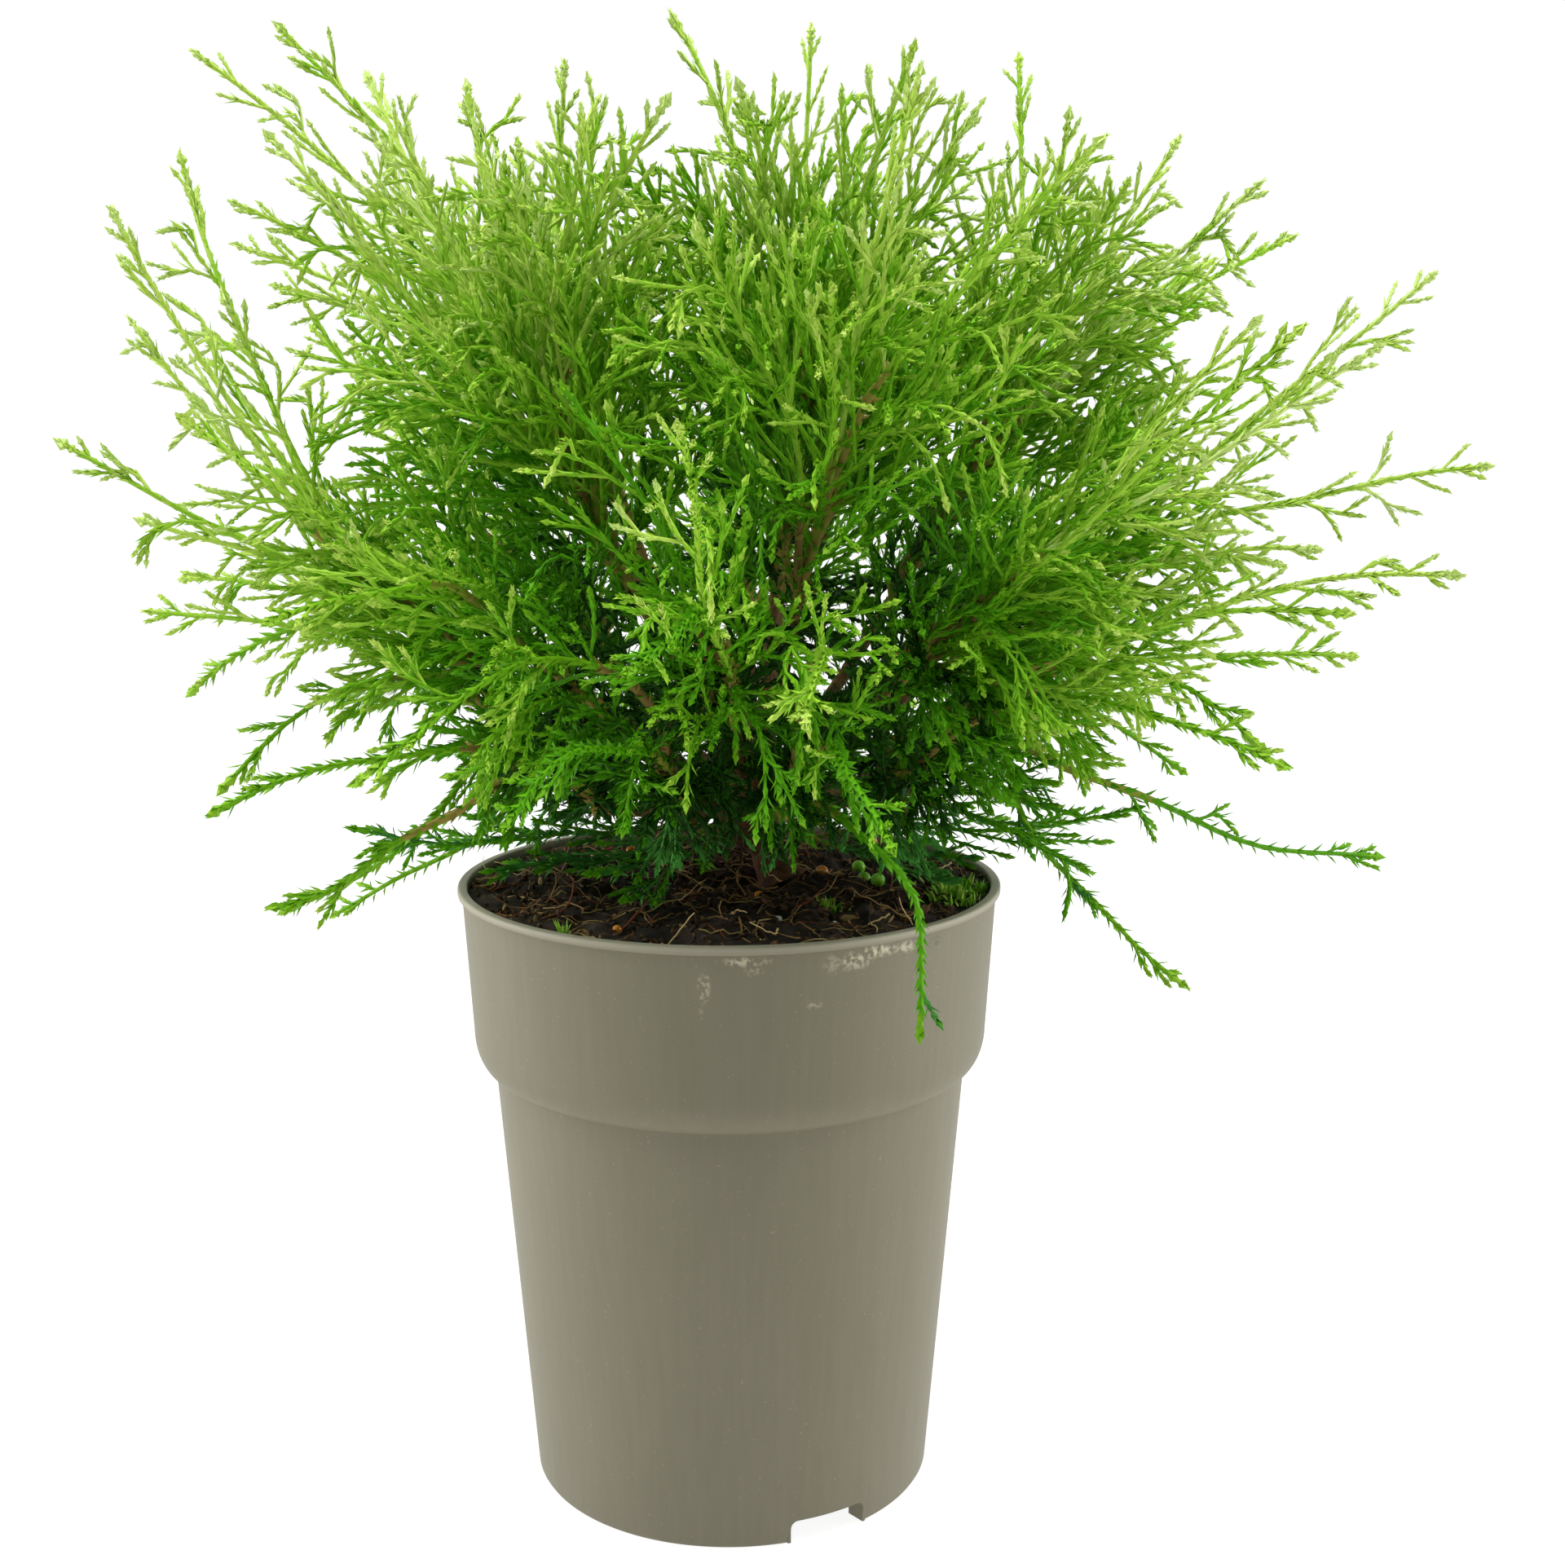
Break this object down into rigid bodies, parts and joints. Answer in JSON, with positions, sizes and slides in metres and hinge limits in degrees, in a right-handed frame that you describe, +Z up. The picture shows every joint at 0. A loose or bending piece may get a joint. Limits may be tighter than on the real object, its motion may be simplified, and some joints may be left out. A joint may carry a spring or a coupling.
{
  "type": "potted dwarf conifer",
  "caption": "Rounded dwarf conifer with thread-like green shoots on fanned boughs, planted in a tapered round nursery pot with a collar and a notched foot.",
  "frame": {"origin": "centre of the pot's flat underside, on the pot's axis", "axes": "+Z up along the pot's axis; -Y is the front, the side the picture was taken from; +X is to the right seen from the front"},
  "size_m": [0.3726, 0.3537, 0.3979],
  "materials": {
    "pot": "moulded, matte, taupe",
    "soil": "moist peat compost",
    "bark": "thin fibrous bark",
    "twig_bark": "smooth young ochre bark",
    "foliage": "overlapping scale leaves, satin green"
  },
  "bodies": {
    "root": {"bough_high_01": "twig_bark", "bough_high_02": "twig_bark", "bough_high_03": "twig_bark", "bough_high_04": "twig_bark", "bough_high_05": "twig_bark", "bough_low_01": "twig_bark", "bough_low_02": "twig_bark", "bough_low_03": "twig_bark", "bough_low_04": "twig_bark", "bough_low_05": "twig_bark", "bough_low_06": "twig_bark", "bough_low_07": "twig_bark", "bough_low_08": "twig_bark", "bough_low_09": "twig_bark", "bough_low_10": "twig_bark", "bough_mid_01": "twig_bark", "bough_mid_02": "twig_bark", "bough_mid_03": "twig_bark", "bough_mid_04": "twig_bark", "bough_mid_05": "twig_bark", "bough_mid_06": "twig_bark", "bough_mid_07": "twig_bark", "bough_mid_08": "twig_bark", "bough_top_01": "twig_bark", "foliage_high_01": "foliage", "foliage_high_02": "foliage", "foliage_high_03": "foliage", "foliage_high_04": "foliage", "foliage_high_05": "foliage", "foliage_low_01": "foliage", "foliage_low_02": "foliage", "foliage_low_03": "foliage", "foliage_low_04": "foliage", "foliage_low_05": "foliage", "foliage_low_06": "foliage", "foliage_low_07": "foliage", "foliage_low_08": "foliage", "foliage_low_09": "foliage", "foliage_low_10": "foliage", "foliage_mid_01": "foliage", "foliage_mid_02": "foliage", "foliage_mid_03": "foliage", "foliage_mid_04": "foliage", "foliage_mid_05": "foliage", "foliage_mid_06": "foliage", "foliage_mid_07": "foliage", "foliage_mid_08": "foliage", "foliage_top_01": "foliage", "pot": "pot", "soil": "soil", "trunk": "bark"}
  },
  "joints": []
}
